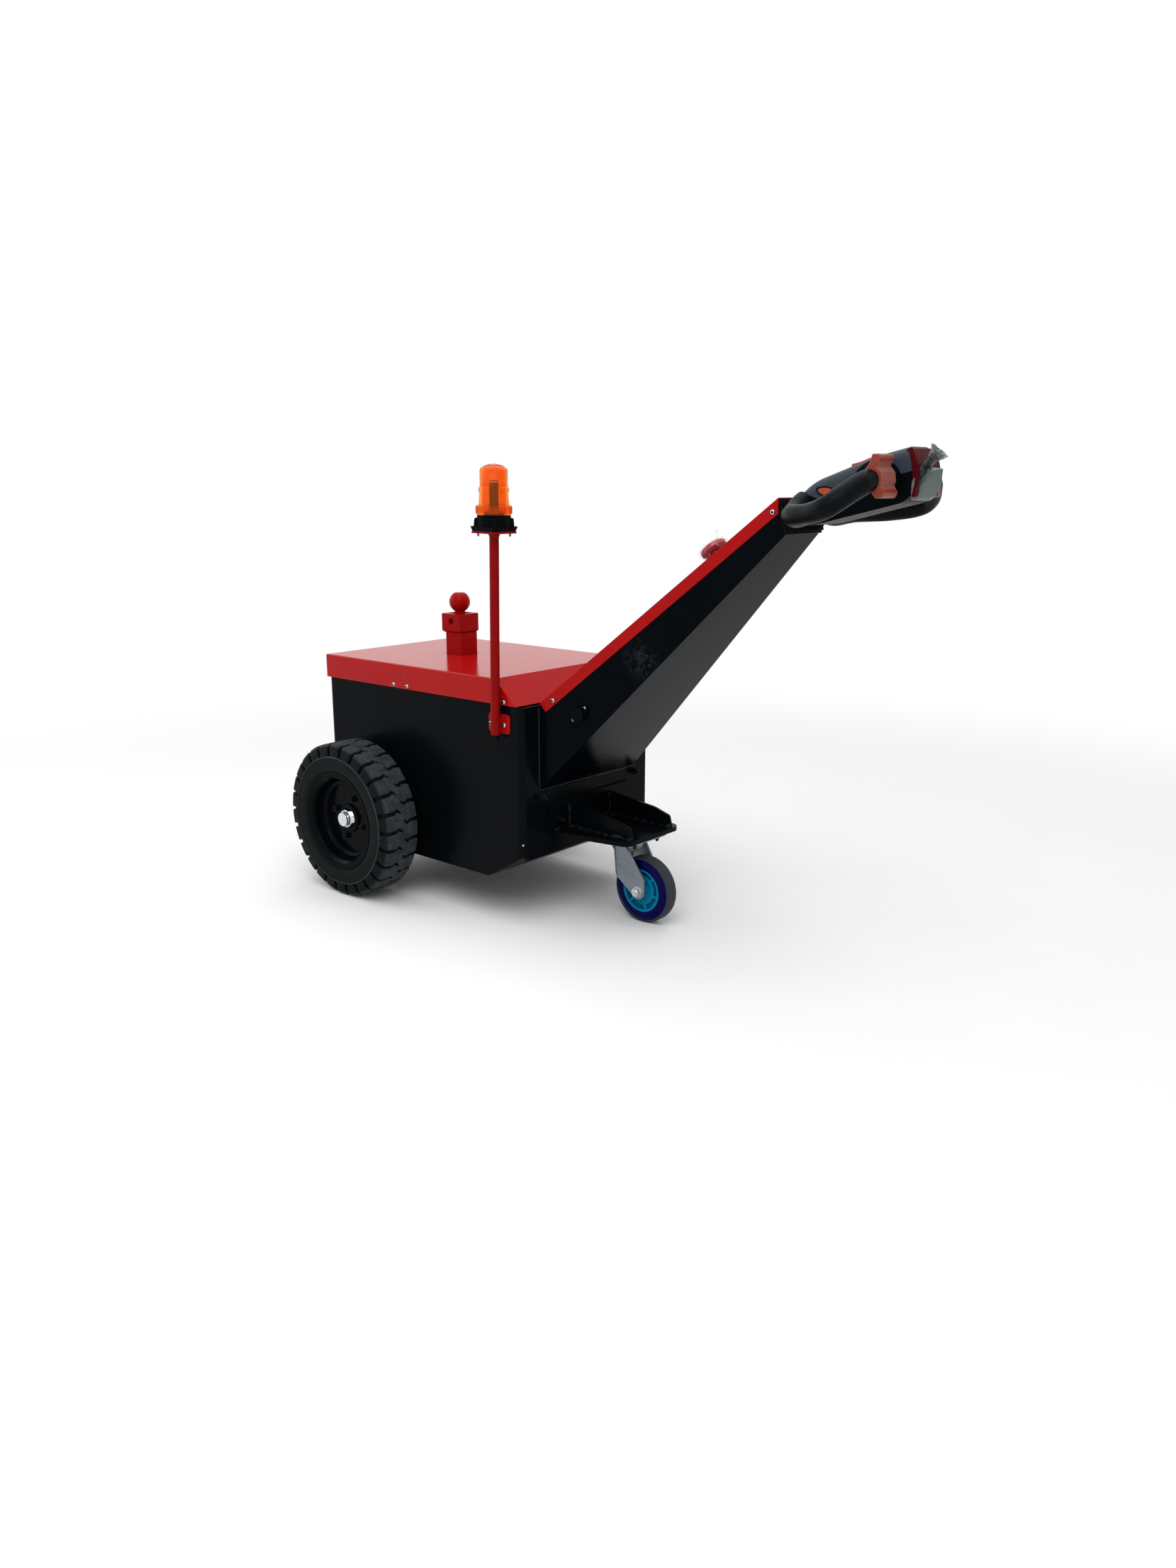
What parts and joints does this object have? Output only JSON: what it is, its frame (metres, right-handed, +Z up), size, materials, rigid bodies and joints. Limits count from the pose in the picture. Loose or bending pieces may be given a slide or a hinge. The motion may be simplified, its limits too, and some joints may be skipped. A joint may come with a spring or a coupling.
{
  "type": "walk-behind electric tug",
  "caption": "Walk-behind electric tug with lid-mounted tow ball, driven wheels, swivel caster, tiller arm with loop handles and an amber beacon.",
  "frame": {"origin": "floor level under the middle of the whole machine's bounding box", "axes": "+X towards the operator's end with the tiller head, +Z up, -Y towards the operator's left, where the beacon pole stands"},
  "size_m": [1.4443, 0.684, 1.0115],
  "materials": {
    "red_paint": "semi-gloss powder coat",
    "black_paint": "semi-gloss powder coat",
    "black_gloss": "gloss",
    "tyre_rubber": "matte",
    "plated_steel": "zinc plated",
    "bright_chrome": "polished",
    "cast_case": "as cast",
    "cyan_plastic": "gloss",
    "navy_plastic": "gloss",
    "grey_rubber": "matte",
    "black_plastic": "fine grain",
    "slate_plastic": "satin",
    "orange_plastic": "satin",
    "maroon_plastic": "satin",
    "red_plastic": "satin",
    "amber_lens": "clear amber moulding",
    "lamp_body": "satin"
  },
  "bodies": {
    "chassis": {"arm_end_plate": "black_paint", "battery_pack": "black_plastic", "beacon_base": "black_plastic", "beacon_bracket": "red_paint", "beacon_lamp": "lamp_body", "beacon_lens": "amber_lens", "beacon_plate": "red_paint", "beacon_pole": "red_paint", "belly_button": "maroon_plastic", "belly_pan": "black_paint", "cable_gland": "black_plastic", "caster_bracket": "black_paint", "caster_plate": "plated_steel", "charging_socket": "black_plastic", "chassis_shell": "black_paint", "drive_motor": "cast_case", "end_plate": "black_paint", "handle_loop_left": "black_plastic", "handle_loop_right": "black_plastic", "head_flange": "black_paint", "head_lower_shell": "black_plastic", "head_upper_shell": "slate_plastic", "hitch_collar": "red_paint", "hitch_post": "red_paint", "horn_rockers": "orange_plastic", "lid": "red_paint", "spindle_left": "plated_steel", "spindle_right": "plated_steel", "stop_button": "red_plastic", "stop_collar": "black_plastic", "switch_bosses": "black_plastic", "thumb_switch_left": "orange_plastic", "thumb_switch_right": "orange_plastic", "tiller_arm": "black_paint", "tiller_cover": "red_paint", "top_switch": "orange_plastic", "tow_ball": "red_paint"},
    "drive_wheel_left": {"drive_hub_left": "black_gloss", "drive_rim_left": "black_gloss", "drive_tyre_left": "tyre_rubber", "hub_cap_left": "bright_chrome"},
    "drive_wheel_right": {"drive_hub_right": "black_gloss", "drive_rim_right": "black_gloss", "drive_tyre_right": "tyre_rubber", "hub_cap_right": "bright_chrome"},
    "caster_swivel": {"caster_axle": "plated_steel", "caster_fork": "plated_steel"},
    "caster_wheel": {"caster_hub": "cyan_plastic", "caster_ring": "navy_plastic", "caster_tread": "grey_rubber"}
  },
  "joints": [
    {"name": "drive_wheel_left_spin", "type": "hinge", "parent": "chassis", "child": "drive_wheel_left", "pos_m": [-0.53967, -0.292, 0.1825], "axis": [0, 1, 0], "continuous": true},
    {"name": "drive_wheel_right_spin", "type": "hinge", "parent": "chassis", "child": "drive_wheel_right", "pos_m": [-0.53967, 0.292, 0.1825], "axis": [0, 1, 0], "continuous": true},
    {"name": "caster_swivel_turn", "type": "hinge", "parent": "chassis", "child": "caster_swivel", "pos_m": [0.06033, 0, 0.17], "axis": [0, 0, 1], "continuous": true},
    {"name": "caster_wheel_spin", "type": "hinge", "parent": "caster_swivel", "child": "caster_wheel", "pos_m": [0.11433, 0, 0.075], "axis": [0, 1, 0], "continuous": true}
  ]
}
